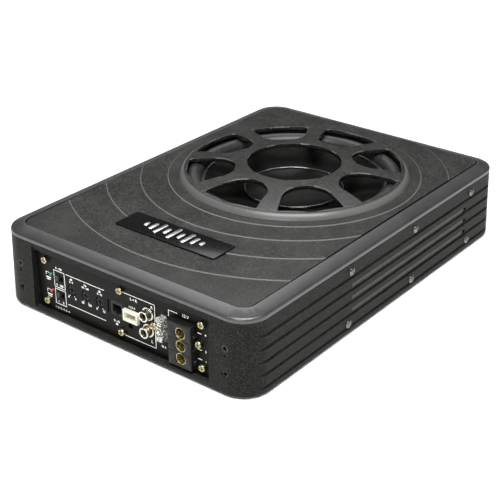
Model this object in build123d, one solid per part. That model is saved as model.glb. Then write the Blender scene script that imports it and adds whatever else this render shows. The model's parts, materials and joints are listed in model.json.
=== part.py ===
"""Powered car subwoofer for under a seat: low casing, round grille, woofer and amplifier.

Units are millimetres. The origin is on the floor under the middle of the casing, +Z is up,
the length lies along Y, and the control panel faces -Y.
"""

from build123d import *
import os
from math import acos, atan, cos, degrees, radians, sin, sqrt, tan

os.makedirs("parts", exist_ok=True)

# Overall sizes
LENGTH = 345.0
WIDTH = 245.0
FOOT_HEIGHT = 1.5
SEAM_Z = 58.3
CORNER_RADIUS = 21.6
DRAFT_DEG = 1.64
SIDE_WALL = 5.0
END_WALL = 6.0
CAVITY_RADIUS = 16.0

# Top frame and grille panel
FRAME_TOP_Z = 65.6
FRAME_INSET = 0.5
BEVEL_RUN = 10.0
BEVEL_DROP = 3.0
LEDGE_Z = 62.6
PANEL_GAP = 1.0
PANEL_TOP_Z = 65.1
RIPPLE_RADII = (186.5, 154.5, 126.5, 104.0)
RIPPLE_STEP = 0.4
RIPPLE_SLOPE = 0.9

# Grille disc, a shallow dome over the woofer
DRIVER_Y = 42.5
HUB_RADIUS = 39.0
DOME_CREST_Z = 77.2
DOME_RADIUS = 790.0
DOME_WALL = 3.0
DOME_EDGE_RADIUS = 90.2
DOME_FOOT_RADIUS = 94.8
PETALS = 8
PETAL_OUTER_RADIUS = 88.2
PETAL_ROUND_CENTRE = 69.0
PETAL_ROUND_RADIUS = 20.2
PETAL_CORNER = 1.2
LIP_RADIUS = 1.1

# Plain plate on the top, with a row of level bars
BADGE_FLOOR_Z = 64.4
BADGE_TOP_Z = 66.7
BADGE_X, BADGE_Y = -1.0, -106.0
BADGE_HALF_X, BADGE_HALF_Y = 49.0, 13.0
BADGE_GAP = 0.2
BAR_HEIGHTS = (6.0, 11.0, 16.0, 9.0, 18.0, 9.0, 16.0, 11.0, 6.0)
BAR_PITCH = 6.8
BAR_WIDTH = 3.6
BAR_THICKNESS = 0.7

# Ribbed sides
GROOVE_FIRST_Z = 6.9
GROOVE_PITCH = 10.05
GROOVES = 5
GROOVE_DEPTH = 1.5
GROOVE_HALF_HEIGHT = 1.6
GROOVE_FLOOR_HALF = 0.5
GROOVE_TIP_Y = 161.8
SLOT_MIDDLES_Z = (18.2, 28.25, 38.3)
SLOT_HEIGHT = 6.2
SLOT_DEPTH = 2.6
SLOT_FROM_Y = -50.0
SLOT_TO_Y = 118.0
INLAY_THICKNESS = 0.7
LOWER_SCREW_YS, LOWER_SCREW_Z = (-55.0, 33.0, 121.0), 10.2
UPPER_SCREW_YS, UPPER_SCREW_Z = (-51.0, 37.0, 125.0), 52.0
SIDE_SCREWS = [(y, LOWER_SCREW_Z) for y in LOWER_SCREW_YS]
SIDE_SCREWS += [(y, UPPER_SCREW_Z) for y in UPPER_SCREW_YS]

# Window and control panel in the front end
WINDOW_HALF = 87.0
WINDOW_BOTTOM_Z = 4.2
WINDOW_TOP_Z = 53.2
WINDOW_STEP = 2.0
PANEL_FRONT_Y = -166.5
PANEL_BACK_Y = -164.5
BOARD_FRONT_Y = -157.0
BOARD_BACK_Y = -155.4
FACE_Y = -172.4
BRACKET_X = 100.5
BRACKET_ZS = (17.5, 37.5)
BRACKET_PILOT_Z = 31.8
BUSH_RADIUS = 2.9
BUSH_BORE = 1.65

# Controls and connectors on the panel, as x and z of their middles
PANEL_SCREWS = (
    (-76.5, 46.5), (-76.5, 12.2), (1.0, 46.5), (1.0, 12.2),
    (77.5, 46.0), (77.5, 11.6), (74.6, 29.6), (33.6, 29.4),
)
KNOBS = (("gain_knob", -50.7), ("crossover_knob", -35.9), ("bass_boost_knob", -21.2))
KNOB_Z = 28.8
SWITCHES = (("phase_slider", 34.2), ("input_slider", 20.0))
SWITCH_X = -63.5
SWITCH_TRAVEL = 4.0
LEDS = (("power_led", 35.8), ("protect_led", 21.8))
LED_X = -71.6
JACK_X, JACK_Z = -4.2, 29.1
SOCKET_X, SOCKET_Z = 11.0, 28.6
SOCKET_HALF_X, SOCKET_HALF_Z = 7.1, 4.6
CAVITY_HALF_X, CAVITY_LOW, CAVITY_HIGH = 5.5, -2.9, 2.5
RCA_X = 27.0
RCA_ZS = (22.8, 36.2)
RCA_SLEEVE = 4.15
RCA_BORE = 3.1
FUSE_X, FUSE_Z = 42.0, 30.4
FUSE_HEIGHT = 19.2
TERMINAL_X, TERMINAL_Z = 60.5, 25.5
TERMINAL_WIDTH, TERMINAL_HEIGHT = 21.0, 35.0
CAGE_X = 61.2
CAGE_ZS = (14.6, 24.8, 35.0)
CAGE_BORE = 3.9
CLAMP_RADIUS, CLAMP_Y = 2.0, -168.9
BLADE_ZS = (-7.0, 7.0)

# Woofer
FLANGE_TOP_Z = 60.5
FLANGE_RADIUS = 103.0
BASKET_BASE_Z = 31.5
SPIDER_Z = 37.5
SPIDER_SKIN = 0.5
ROLL_RADIUS = 83.3
ROLL_SIZE = 6.7
SKIN = 0.8
RING_RADIUS = 41.0
RING_Z = 52.7
FORMER_INNER, FORMER_OUTER = 24.9, 25.3
COIL_OUTER = 26.0
POLE_RADIUS = 24.2
GAP_RADIUS = 26.6
BASKET_SCREW_RADIUS = 98.4
TAG_XS = (-7.0, 7.0)

# Bottom plate and amplifier
PLATE_TOP_Z = 3.5
MAIN_BOARD_Z = 11.0
MAIN_BOARD_TOP = 12.6
POSTS = ((-107.0, -157.0), (107.0, -157.0), (-107.0, 157.0), (107.0, 157.0),
         (-111.0, -70.0), (111.0, -70.0))
STANDOFFS = ((-88.0, -143.0), (88.0, -143.0), (-88.0, -78.0), (88.0, -78.0))
FEET = ((-92.0, -142.0), (92.0, -142.0), (-92.0, 142.0), (92.0, 142.0))

# Posts inside the casing for the screws from below
BOTTOM_ROUND = 1.8
POST_HALF = 5.0
POST_TOP_Z = 20.0
POST_BORE = 1.25
POST_BORE_TOP_Z = 14.0
POST_REACH_X, POST_REACH_Y = 118.0, 167.0
END_POST_FROM_Y = 150.0

driver = Pos(0, DRIVER_Y, 0)


def half_width(z):
    """Half the casing's width at a height, which the draft makes smaller upwards."""
    return WIDTH / 2 - (z - FOOT_HEIGHT) * tan(radians(DRAFT_DEG))


def slab(half_x, half_y, radius, low_z, high_z, taper=0.0):
    """An upright block with rounded corners."""
    outline = Plane.XY.offset(low_z) * RectangleRounded(2 * half_x, 2 * half_y, radius)
    return extrude(outline, amount=high_z - low_z, taper=taper)


def block(low_x, high_x, low_y, high_y, low_z, high_z):
    """A box given by its two corners."""
    middle = Pos((low_x + high_x) / 2, (low_y + high_y) / 2, (low_z + high_z) / 2)
    return middle * Box(high_x - low_x, high_y - low_y, high_z - low_z)


def upright(radius, low_z, high_z, x=0.0, y=0.0):
    """A cylinder along Z."""
    return Pos(x, y, (low_z + high_z) / 2) * Cylinder(radius, high_z - low_z)


def along_y(radius, low_y, high_y, x, z):
    """A cylinder along Y."""
    return Pos(x, (low_y + high_y) / 2, z) * Rot(90, 0, 0) * Cylinder(radius, high_y - low_y)


def along_x(radius, low_x, high_x, y, z):
    """A cylinder along X."""
    return Pos((low_x + high_x) / 2, y, z) * Rot(0, 90, 0) * Cylinder(radius, high_x - low_x)


def ring(inner, outer, low_z, high_z):
    """A flat ring about the driver's axis."""
    return driver * (upright(outer, low_z, high_z) - upright(inner, low_z - 1, high_z + 1))


def turned(*edges):
    """A solid of revolution about the driver's axis, from edges drawn in radius and height."""
    outline = make_face(Plane.XZ * (Curve() + list(edges)))
    return driver * revolve(outline, Axis.Z)


def turned_polygon(*points):
    """A solid of revolution about the driver's axis, from corners in radius and height."""
    return driver * revolve(Plane.XZ * make_face(Polyline(*points, close=True)), Axis.Z)


def group(solids):
    """Several separate solids that share one node."""
    return Compound(children=list(solids))


# ---------------------------------------------------------------- casing

def groove(z):
    """The cutter of one side groove, which fades to a point round each corner."""
    floor_x = half_width(z) - GROOVE_DEPTH
    straight_y = LENGTH / 2 - CORNER_RADIUS
    tip_run = GROOVE_TIP_Y - straight_y
    tip_x = half_width(z) - CORNER_RADIUS + sqrt(CORNER_RADIUS**2 - tip_run**2)
    radius = ((floor_x - tip_x) ** 2 + tip_run**2) / (2 * (floor_x - tip_x))
    floor_y = straight_y + radius
    rise = GROOVE_HALF_HEIGHT - GROOVE_FLOOR_HALF
    slope = degrees(atan(GROOVE_DEPTH / rise))
    core = slab(floor_x, floor_y, radius, z - GROOVE_FLOOR_HALF, z + GROOVE_FLOOR_HALF)
    upper = slab(floor_x, floor_y, radius, z + GROOVE_FLOOR_HALF, z + GROOVE_HALF_HEIGHT, -slope)
    lower = mirror(upper, about=Plane.XY.offset(z))
    band = slab(WIDTH, LENGTH, CORNER_RADIUS, z - GROOVE_HALF_HEIGHT, z + GROOVE_HALF_HEIGHT)
    return band - (core + upper + lower)


def slot_floor(z):
    return half_width(z + SLOT_HEIGHT / 2) - SLOT_DEPTH


def casing():
    """The ribbed ring that forms all four walls."""
    body = slab(WIDTH / 2, LENGTH / 2, CORNER_RADIUS, FOOT_HEIGHT, SEAM_Z, DRAFT_DEG)
    body = fillet(body.faces().sort_by(Axis.Z)[0].edges(), BOTTOM_ROUND)
    body -= slab(WIDTH / 2 - SIDE_WALL, LENGTH / 2 - END_WALL, CAVITY_RADIUS, 0, SEAM_Z + 1)
    for x, y in POSTS:
        body += corner_post(x, y)
        body -= upright(POST_BORE, PLATE_TOP_Z - 1, POST_BORE_TOP_Z, x, y)
    for number in range(GROOVES):
        body -= groove(GROOVE_FIRST_Z + number * GROOVE_PITCH)
    for side in (-1, 1):
        for z in SLOT_MIDDLES_Z:
            inner, outer = slot_floor(z), WIDTH / 2 + 1
            low_x, high_x = sorted((side * inner, side * outer))
            body -= block(low_x, high_x, SLOT_FROM_Y, SLOT_TO_Y,
                          z - SLOT_HEIGHT / 2, z + SLOT_HEIGHT / 2)
        for y, z in SIDE_SCREWS:
            low_x, high_x = sorted((side * 115, side * 125))
            body -= along_x(1.6, low_x, high_x, y, z)
    return body - window() - bracket_holes() + sill_ridges()


def corner_post(x, y):
    """A block that joins a screw's place to the wall beside it, and to the end wall if near."""
    low_x, high_x = x - POST_HALF, POST_REACH_X
    if x < 0:
        low_x, high_x = -POST_REACH_X, x + POST_HALF
    low_y, high_y = y - POST_HALF, y + POST_HALF
    if y > END_POST_FROM_Y:
        high_y = POST_REACH_Y
    if y < -END_POST_FROM_Y:
        low_y = -POST_REACH_Y
    post = block(low_x, high_x, low_y, high_y, PLATE_TOP_Z, POST_TOP_Z)
    return post & slab(POST_REACH_X, POST_REACH_Y + 0.5, CORNER_RADIUS - 4, PLATE_TOP_Z, POST_TOP_Z)


def window():
    """The opening in the front end, with two steps above it."""
    opening = block(-WINDOW_HALF, WINDOW_HALF, -180, -160, WINDOW_BOTTOM_Z, WINDOW_TOP_Z)
    opening = fillet(opening.edges().filter_by(Axis.Y), 1.5)
    for step, depth in ((1, 1.8), (2, 0.9)):
        front_y = -half_length_at(WINDOW_TOP_Z)
        opening += block(-WINDOW_HALF, WINDOW_HALF, -180, front_y + depth,
                         WINDOW_TOP_Z - 1, WINDOW_TOP_Z + step * WINDOW_STEP)
    return opening


def half_length_at(z):
    return LENGTH / 2 - (z - FOOT_HEIGHT) * tan(radians(DRAFT_DEG))


def sill_ridges():
    """Two low ridges along the floor of the window."""
    ridges = None
    for y in (-170.9, -168.8):
        ridge = block(-86, 86, y - 0.45, y + 0.45, WINDOW_BOTTOM_Z - 0.6, WINDOW_BOTTOM_Z + 0.7)
        ridges = ridge if ridges is None else ridges + ridge
    return ridges


def bracket_holes():
    """Holes for the threaded inserts and the small pilot holes, at both ends."""
    holes = None
    for end in (-1, 1):
        low_y, high_y = sorted((end * 166.0, end * 173.0))
        pilot_low, pilot_high = sorted((end * 168.5, end * 173.0))
        for x in (-BRACKET_X, BRACKET_X):
            for z in BRACKET_ZS:
                hole = along_y(BUSH_RADIUS, low_y, high_y, x, z)
                holes = hole if holes is None else holes + hole
            holes += along_y(1.2, pilot_low, pilot_high, x, BRACKET_PILOT_Z)
    return holes


def mounting_inserts():
    """Threaded steel bushes for a bracket, four at each end."""
    bushes = []
    for end in (-1, 1):
        low_y, high_y = sorted((end * 166.6, end * 171.2))
        for x in (-BRACKET_X, BRACKET_X):
            for z in BRACKET_ZS:
                bore = along_y(BUSH_BORE, low_y - 1, high_y + 1, x, z)
                bushes.append(along_y(BUSH_RADIUS, low_y, high_y, x, z) - bore)
    return group(bushes)


def side_inlays():
    """Textured strips at the bottom of the side slots."""
    strips = []
    for side in (-1, 1):
        for z in SLOT_MIDDLES_Z:
            low_x, high_x = sorted((side * slot_floor(z), side * (slot_floor(z) + INLAY_THICKNESS)))
            strips.append(block(low_x, high_x, SLOT_FROM_Y + 0.3, SLOT_TO_Y - 0.3,
                                z - SLOT_HEIGHT / 2 + 0.2, z + SLOT_HEIGHT / 2 - 0.2))
    return group(strips)


def side_screws():
    """Dome-headed screws in two rows on each side."""
    screws = []
    for side in (-1, 1):
        for y, z in SIDE_SCREWS:
            seat = half_width(z)
            head = Pos(seat - 2.6, y, z) * Rot(0, 90, 0) * Sphere(4.4)
            head &= along_x(3.3, seat + 0.1, seat + 3, y, z)
            head -= Pos(seat + 2, y, z) * Box(1.2, 3.0, 0.7)
            head -= Pos(seat + 2, y, z) * Box(1.2, 0.7, 3.0)
            screw = head + along_x(1.4, 115.2, seat + 0.2, y, z)
            screws.append(screw if side > 0 else mirror(screw, about=Plane.YZ))
    return group(screws)


# ---------------------------------------------------------------- top

def tabs(places, hole_z, low_z, high_z):
    """Tabs inside the long walls that take one row of side screws."""
    pieces = None
    for side in (-1, 1):
        for y in places:
            low_x, high_x = sorted((side * 114.9, side * 117.3))
            tab = block(low_x, high_x, y - 8, y + 8, low_z, high_z)
            tab -= along_x(1.45, low_x - 1, high_x + 1, y, hole_z)
            pieces = tab if pieces is None else pieces + tab
    return pieces


def top_frame():
    """The bevelled rim with a ledge that carries the grille panel."""
    half_x = half_width(SEAM_Z) + 0.2
    half_y = half_length_at(SEAM_Z) + 0.2
    rim = bevelled_block(half_x, half_y)
    opening = slab(half_x - BEVEL_RUN - 0.8, half_y - BEVEL_RUN - 0.8, 10.5,
                   LEDGE_Z, FRAME_TOP_Z + 1)
    well = slab(105.2, 155.2, 8.0, SEAM_Z - 1, LEDGE_Z + 1)
    seam = slab(WIDTH, LENGTH, CORNER_RADIUS, SEAM_Z - 1, SEAM_Z + 0.7)
    seam -= slab(half_x - 1.0, half_y - 1.0, CORNER_RADIUS - 2.2, SEAM_Z - 2, SEAM_Z + 1)
    rim = rim - opening - well - seam
    return rim + tabs(UPPER_SCREW_YS, UPPER_SCREW_Z, 45.0, SEAM_Z + 0.5)


def bevelled_block(half_x, half_y):
    """A block whose top slopes down to its edges."""
    edge_z = FRAME_TOP_Z - BEVEL_DROP
    slope = degrees(atan(BEVEL_RUN / BEVEL_DROP))
    lower = slab(half_x, half_y, CORNER_RADIUS - 1.2, SEAM_Z, edge_z)
    upper = slab(half_x, half_y, CORNER_RADIUS - 1.2, edge_z, FRAME_TOP_Z, slope)
    both = lower + upper
    seam_edges = both.edges().filter_by(lambda edge: abs(edge.center().Z - edge_z) < 0.01)
    return fillet(seam_edges, 2.2)


def petal():
    """The outline of one grille opening, pointing along +X from the driver's axis."""
    half_angle = acos(sqrt(1 - (PETAL_ROUND_RADIUS / PETAL_ROUND_CENTRE) ** 2))
    tangent = sqrt(PETAL_ROUND_CENTRE**2 - PETAL_ROUND_RADIUS**2)
    near = (tangent * cos(half_angle), tangent * sin(half_angle))
    far = (PETAL_OUTER_RADIUS * cos(half_angle), PETAL_OUTER_RADIUS * sin(half_angle))
    tip = PETAL_ROUND_CENTRE - PETAL_ROUND_RADIUS
    outline = Curve() + [
        Line(near, far),
        ThreePointArc(far, (PETAL_OUTER_RADIUS, 0), (far[0], -far[1])),
        Line((far[0], -far[1]), (near[0], -near[1])),
        ThreePointArc((near[0], -near[1]), (tip, 0), near),
    ]
    face = make_face(outline)
    corners = [v for v in face.vertices() if v.X > near[0] + 1]
    return fillet(corners, PETAL_CORNER)


def dome_z(radius, below=0.0):
    """Height of the dome's upper skin, or of a skin below it."""
    ball = DOME_RADIUS - below
    return DOME_CREST_Z - DOME_RADIUS + sqrt(ball**2 - radius**2)


def dome():
    """The raised grille disc without its openings."""
    foot_z = PANEL_TOP_Z + len(RIPPLE_RADII) * RIPPLE_STEP
    middle = (HUB_RADIUS + DOME_EDGE_RADIUS) / 2
    edge = (DOME_EDGE_RADIUS, dome_z(DOME_EDGE_RADIUS))
    foot = (DOME_FOOT_RADIUS, foot_z)
    run, drop = DOME_FOOT_RADIUS - DOME_EDGE_RADIUS, edge[1] - foot_z
    shoulder = (DOME_EDGE_RADIUS + run * 0.74, foot_z + drop * 0.70)
    inner_edge = (DOME_EDGE_RADIUS - 0.6, dome_z(DOME_EDGE_RADIUS - 0.6, DOME_WALL))
    hub_top = (HUB_RADIUS, dome_z(HUB_RADIUS))
    hub_low = (HUB_RADIUS, dome_z(HUB_RADIUS, DOME_WALL))
    disc = turned(
        ThreePointArc(hub_top, (middle, dome_z(middle)), edge),
        ThreePointArc(edge, shoulder, foot),
        Line(foot, (DOME_FOOT_RADIUS, LEDGE_Z)),
        Line((DOME_FOOT_RADIUS, LEDGE_Z), (91.5, LEDGE_Z)),
        Line((91.5, LEDGE_Z), inner_edge),
        ThreePointArc(inner_edge, (middle, dome_z(middle, DOME_WALL)), hub_low),
        Line(hub_low, hub_top),
    )
    return fillet([edge for edge in disc.edges() if is_top_lip(edge)], LIP_RADIUS)


def grille_panel():
    """The inset top: rippled sheet, domed grille and the ring that the woofer hangs from."""
    half_x = half_width(SEAM_Z) + 0.2 - BEVEL_RUN - 0.8 - PANEL_GAP
    half_y = half_length_at(SEAM_Z) + 0.2 - BEVEL_RUN - 0.8 - PANEL_GAP
    sheet = slab(half_x, half_y, 9.5, LEDGE_Z, PANEL_TOP_Z)
    column = slab(half_x, half_y, 9.5, LEDGE_Z, PANEL_TOP_Z + 4)
    level = PANEL_TOP_Z
    for radius in RIPPLE_RADII:
        step = Cone(radius + RIPPLE_SLOPE, radius, RIPPLE_STEP)
        sheet += (driver * Pos(0, 0, level + RIPPLE_STEP / 2) * step) & column
        level += RIPPLE_STEP
    sheet -= driver * upright(93.0, 50, 80)
    pocket_x, pocket_y = BADGE_HALF_X + BADGE_GAP, BADGE_HALF_Y + BADGE_GAP
    sheet -= block(BADGE_X - pocket_x, BADGE_X + pocket_x, BADGE_Y - pocket_y, BADGE_Y + pocket_y,
                   BADGE_FLOOR_Z, PANEL_TOP_Z + 5)
    return sheet + grille_disc() + ring(93.5, 104.0, FLANGE_TOP_Z + 1.0, LEDGE_Z + 0.5)


def grille_disc():
    """The dome with its eight openings and rounded lips."""
    disc = dome()
    for number in range(PETALS):
        cutter = extrude(Plane.XY.offset(55) * petal(), amount=30)
        disc -= driver * Rot(0, 0, number * 360 / PETALS) * cutter
    return disc


def is_top_lip(edge):
    """True for edges of the grille's holes on the dome's upper skin."""
    for share in (0.0, 0.35, 0.5, 1.0):
        point = edge.position_at(share)
        radius = sqrt(point.X**2 + (point.Y - DRIVER_Y) ** 2)
        if radius > PETAL_OUTER_RADIUS + 0.01 or abs(point.Z - dome_z(radius)) > 0.02:
            return False
    return True


def badge_plate():
    """A plain raised plate on the top."""
    plate = slab(BADGE_HALF_X, BADGE_HALF_Y, 2.0, BADGE_FLOOR_Z, BADGE_TOP_Z)
    plate = Pos(BADGE_X, BADGE_Y, 0) * plate
    return chamfer(plate.faces().sort_by(Axis.Z)[-1].edges(), 0.5)


def badge_bars():
    """A row of round-ended level bars on the plate."""
    bars = []
    middle = (len(BAR_HEIGHTS) - 1) / 2
    half_x = BAR_WIDTH / 2
    for number, height in enumerate(BAR_HEIGHTS):
        x = BADGE_X + (number - middle) * BAR_PITCH
        bar = slab(half_x, height / 2, half_x - 0.05, BADGE_TOP_Z, BADGE_TOP_Z + BAR_THICKNESS)
        bars.append(Pos(x, BADGE_Y, 0) * bar)
    return group(bars)


# ---------------------------------------------------------------- bottom

def bottom_plate():
    """The plate that closes the casing and carries the amplifier."""
    plate = slab(WIDTH / 2 - SIDE_WALL - 0.2, LENGTH / 2 - END_WALL - 0.2, CAVITY_RADIUS - 0.2,
                 FOOT_HEIGHT, PLATE_TOP_Z)
    plate += tabs(LOWER_SCREW_YS, LOWER_SCREW_Z, PLATE_TOP_Z - 0.5, 15.0)
    for x, y in POSTS:
        plate -= upright(1.7, 0, 5, x, y)
        plate -= Pos(x, y, FOOT_HEIGHT + 0.75) * Cone(3.1, 1.7, 1.5)
    for x, y in STANDOFFS:
        plate += upright(4.0, PLATE_TOP_Z - 0.5, MAIN_BOARD_Z, x, y)
        plate += upright(1.4, MAIN_BOARD_Z - 0.5, MAIN_BOARD_TOP + 1.2, x, y)
    return plate


def bottom_screws():
    """Countersunk screws from below into the casing's posts."""
    screws = []
    for x, y in POSTS:
        head = Pos(x, y, FOOT_HEIGHT + 0.75) * Cone(3.0, 1.6, 1.5)
        screw = head + upright(1.2, FOOT_HEIGHT + 1, 13, x, y)
        screw -= Pos(x, y, FOOT_HEIGHT + 0.3) * Box(3.4, 0.7, 1.2)
        screw -= Pos(x, y, FOOT_HEIGHT + 0.3) * Box(0.7, 3.4, 1.2)
        screws.append(screw)
    return group(screws)


def rubber_feet():
    """Round pads under the corners."""
    feet = []
    for x, y in FEET:
        foot = upright(11.0, 0, FOOT_HEIGHT, x, y)
        feet.append(fillet(foot.faces().sort_by(Axis.Z)[0].edges(), 0.5))
    return group(feet)


# ---------------------------------------------------------------- woofer

def basket():
    """Pressed-steel chassis: flange, windowed bowl, spider ledge and base."""
    bowl = turned_polygon(
        (FLANGE_RADIUS, 60.5), (FLANGE_RADIUS, 58.5), (90.0, 58.5), (64.0, 36.0), (54.0, 36.0),
        (49.6, 31.5), (28.0, 31.5), (28.0, 33.2), (48.8, 33.2), (53.2, 37.5), (62.6, 37.5),
        (87.6, 60.5),
    )
    windows = 12
    for number in range(windows):
        cutter = Pos(75.5, 0, 47.8) * Box(17.0, 18.0, 15.0)
        bowl -= driver * Rot(0, 0, (number + 0.5) * 360 / windows) * cutter
    for number in range(PETALS):
        bowl -= screw_place(number) * upright(1.9, 50, 65)
    return bowl


def screw_place(number):
    """Where a woofer screw stands, between the grille openings."""
    return driver * Rot(0, 0, (number + 0.5) * 360 / PETALS) * Pos(BASKET_SCREW_RADIUS, 0, 0)


def speaker_screws():
    """Pan-head screws that hold the woofer up against the grille panel."""
    screws = []
    for number in range(PETALS):
        head = upright(3.3, 56.6, 58.5) + upright(1.5, 58.4, 60.4)
        head -= Pos(0, 0, 56.8) * Box(3.6, 0.8, 1.2)
        head -= Pos(0, 0, 56.8) * Box(0.8, 3.6, 1.2)
        screws.append(screw_place(number) * head)
    return group(screws)


def speaker_gasket():
    """Foam ring between the basket and the grille panel."""
    return ring(93.4, 103.4, FLANGE_TOP_Z, FLANGE_TOP_Z + 1.0)


def surround():
    """Half-roll rubber suspension round the cone."""
    low, high = FLANGE_TOP_Z, FLANGE_TOP_Z + SKIN
    inner, outer = ROLL_RADIUS - ROLL_SIZE, ROLL_RADIUS + ROLL_SIZE
    small = ROLL_SIZE - SKIN
    return turned(
        Line((inner - 2.6, low), (inner - 2.6, high)),
        Line((inner - 2.6, high), (inner, high)),
        ThreePointArc((inner, high), (ROLL_RADIUS, high + ROLL_SIZE), (outer, high)),
        Line((outer, high), (93.0, high)),
        Line((93.0, high), (93.0, low)),
        Line((93.0, low), (ROLL_RADIUS + small, low)),
        ThreePointArc((ROLL_RADIUS + small, low), (ROLL_RADIUS, low + small),
                      (ROLL_RADIUS - small, low)),
        Line((ROLL_RADIUS - small, low), (inner - 2.6, low)),
    )


def cone():
    """The moving diaphragm, slightly curved, with a flat rim under the surround."""
    neck, rim = (FORMER_OUTER, 45.5), (73.5, 59.7)
    return turned(
        ThreePointArc(neck, (50.0, 52.8), rim),
        Line(rim, (77.0, 59.7)),
        Line((77.0, 59.7), (77.0, FLANGE_TOP_Z)),
        Line((77.0, FLANGE_TOP_Z), (73.2, FLANGE_TOP_Z)),
        ThreePointArc((73.2, FLANGE_TOP_Z), (49.8, 53.6), (FORMER_OUTER, 46.4)),
        Line((FORMER_OUTER, 46.4), neck),
    )


def dust_cap():
    """A dished cap whose rim stands on the cone."""
    rim_z, dish, wall = 52.2, 2.8, 0.8
    steps = 12
    outer = RING_RADIUS - 1.6
    bowl = [(outer * k / steps, rim_z - dish * (1 - (k / steps) ** 2)) for k in range(steps + 1)]
    below = [(radius, z - wall) for radius, z in reversed(bowl)]
    rim = [(RING_RADIUS + 0.9, rim_z), (RING_RADIUS + 0.9, rim_z - 0.4)]
    return turned_polygon(*bowl, *rim, *below)


def dust_cap_ring():
    """A thin bright ring round the dust cap."""
    return driver * Pos(0, 0, RING_Z + 0.3) * Torus(RING_RADIUS, 0.8)


def coil_former():
    """The thin tube that joins the coil to the cone."""
    return ring(FORMER_INNER, FORMER_OUTER, 20.0, 48.6)


def voice_coil():
    """The winding on the former."""
    return ring(FORMER_OUTER, COIL_OUTER, 23.5, 33.5)


def spider():
    """The corrugated lower suspension."""
    waves, pitch, start = 4, 6.3, 27.6
    inner, outer = FORMER_OUTER + 0.1, 62.0
    edges = []
    for z in (SPIDER_Z, SPIDER_Z + SPIDER_SKIN):
        edges.append(Line((inner, z), (start, z)))
        for wave in range(waves):
            left = start + wave * pitch
            middle = left + pitch / 2
            right = left + pitch
            edges.append(ThreePointArc((left, z), (left + pitch / 4, z + 1.6), (middle, z)))
            edges.append(ThreePointArc((middle, z), (middle + pitch / 4, z - 1.2), (right, z)))
        edges.append(Line((start + waves * pitch, z), (outer, z)))
    for radius in (inner, outer):
        edges.append(Line((radius, SPIDER_Z), (radius, SPIDER_Z + SPIDER_SKIN)))
    return turned(*edges)


def yoke():
    """Back plate and vented pole in one piece."""
    body = driver * (upright(50.0, 5.5, 11.5) + upright(POLE_RADIUS, 11.0, BASKET_BASE_Z))
    return body - driver * upright(6.0, 0, 40)


def speaker_terminals():
    """Tag board under the flange, with two lugs."""
    y = DRIVER_Y - 95.0
    board = block(-12, 12, y - 1, y + 1, 47.5, 58.5)
    for x in TAG_XS:
        board += block(x - 2, x + 2, y - 4.5, y, 50.0, 50.8)
    return board


def tinsel_leads():
    """Two limp braids from the chassis to the underside of the cone."""
    leads = []
    for x in TAG_XS:
        route = FilletPolyline((x, -26.0, 47.5), (x, -12.0, 43.6), (x, 0.5, 47.2), radius=9.0)
        profile = Plane(origin=route @ 0, z_dir=route % 0) * Circle(0.8)
        leads.append(sweep(profile, path=route))
    return group(leads)


# ---------------------------------------------------------------- amplifier

def main_board():
    board = block(-103, 103, -151, -71, MAIN_BOARD_Z, MAIN_BOARD_TOP)
    for x, y in STANDOFFS:
        board -= upright(1.5, 5, 20, x, y)
    return board


def power_transformer():
    """Ring core with its winding."""
    coil = slab(23.5, 23.5, 23.4, MAIN_BOARD_TOP + 0.2, 29.0)
    coil -= upright(8.0, 0, 60)
    coil = fillet(coil.edges().filter_by(GeomType.CIRCLE), 3.5)
    return Pos(-52, -112, 0) * coil


def capacitors():
    """Storage capacitors on the main board."""
    places = ((8, -128), (30, -128), (8, -105), (30, -105))
    cans = [fillet(upright(9.0, MAIN_BOARD_TOP, 47.0, x, y).edges().sort_by(Axis.Z)[-1], 1.0)
            for x, y in places]
    cans += [upright(5.0, MAIN_BOARD_TOP, 32.0, x, -83) for x in (4, 18, 32)]
    return group(cans)


def transistors():
    """Power transistors in a row against each heat spreader."""
    bodies = []
    for side in (-1, 1):
        for y in (-140, -122, -104, -86):
            low_x, high_x = sorted((side * 99.4, side * 104.0))
            bodies.append(block(low_x, high_x, y - 5, y + 5, MAIN_BOARD_TOP, 28.6))
    return group(bodies)


def heat_spreaders():
    """Aluminium bars that take the heat into the bottom plate."""
    return group(block(*sorted((side * 104.0, side * 112.0)), -149, -77, PLATE_TOP_Z, 34)
                 for side in (-1, 1))


def speaker_wires():
    """Two leads from the main board up to the woofer's tags."""
    wires = []
    for x in TAG_XS:
        route = FilletPolyline((x, -74.0, MAIN_BOARD_TOP), (x, -74.0, 36.0), (x, -57.3, 50.4),
                               radius=12.0)
        profile = Plane(origin=route @ 0, z_dir=route % 0) * Circle(1.1)
        wires.append(sweep(profile, path=route))
    return group(wires)


# ---------------------------------------------------------------- control panel

def control_panel():
    """The black plate behind the window, with an opening for each control."""
    plate = block(-92, 92, PANEL_FRONT_Y, PANEL_BACK_Y, 3.8, 57.8)
    for x, z in PANEL_SCREWS:
        plate -= panel_hole(1.65, x, z)
    for _, x in KNOBS:
        plate -= panel_hole(4.4, x, KNOB_Z)
    for _, z in LEDS:
        plate -= panel_hole(1.75, LED_X, z)
    for _, z in SWITCHES:
        plate -= panel_slot(SWITCH_X, z, 8.4, 4.4)
    for z in RCA_ZS:
        plate -= panel_hole(4.4, RCA_X, z)
    plate -= panel_slot(JACK_X, JACK_Z, 12.4, 12.4)
    plate -= panel_slot(JACK_X - 8.6, JACK_Z, 1.4, 11.0)
    plate -= panel_slot(SOCKET_X, SOCKET_Z, 14.6, 9.6)
    plate -= panel_slot(SOCKET_X - 2.2, SOCKET_Z - 8.6, 4.2, 5.0)
    plate -= panel_slot(FUSE_X, FUSE_Z, 6.4, 22.4)
    plate -= panel_slot(TERMINAL_X, TERMINAL_Z, TERMINAL_WIDTH + 0.4, TERMINAL_HEIGHT + 0.4)
    return plate


def panel_hole(radius, x, z):
    return along_y(radius, PANEL_FRONT_Y - 1, PANEL_BACK_Y + 1, x, z)


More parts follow.
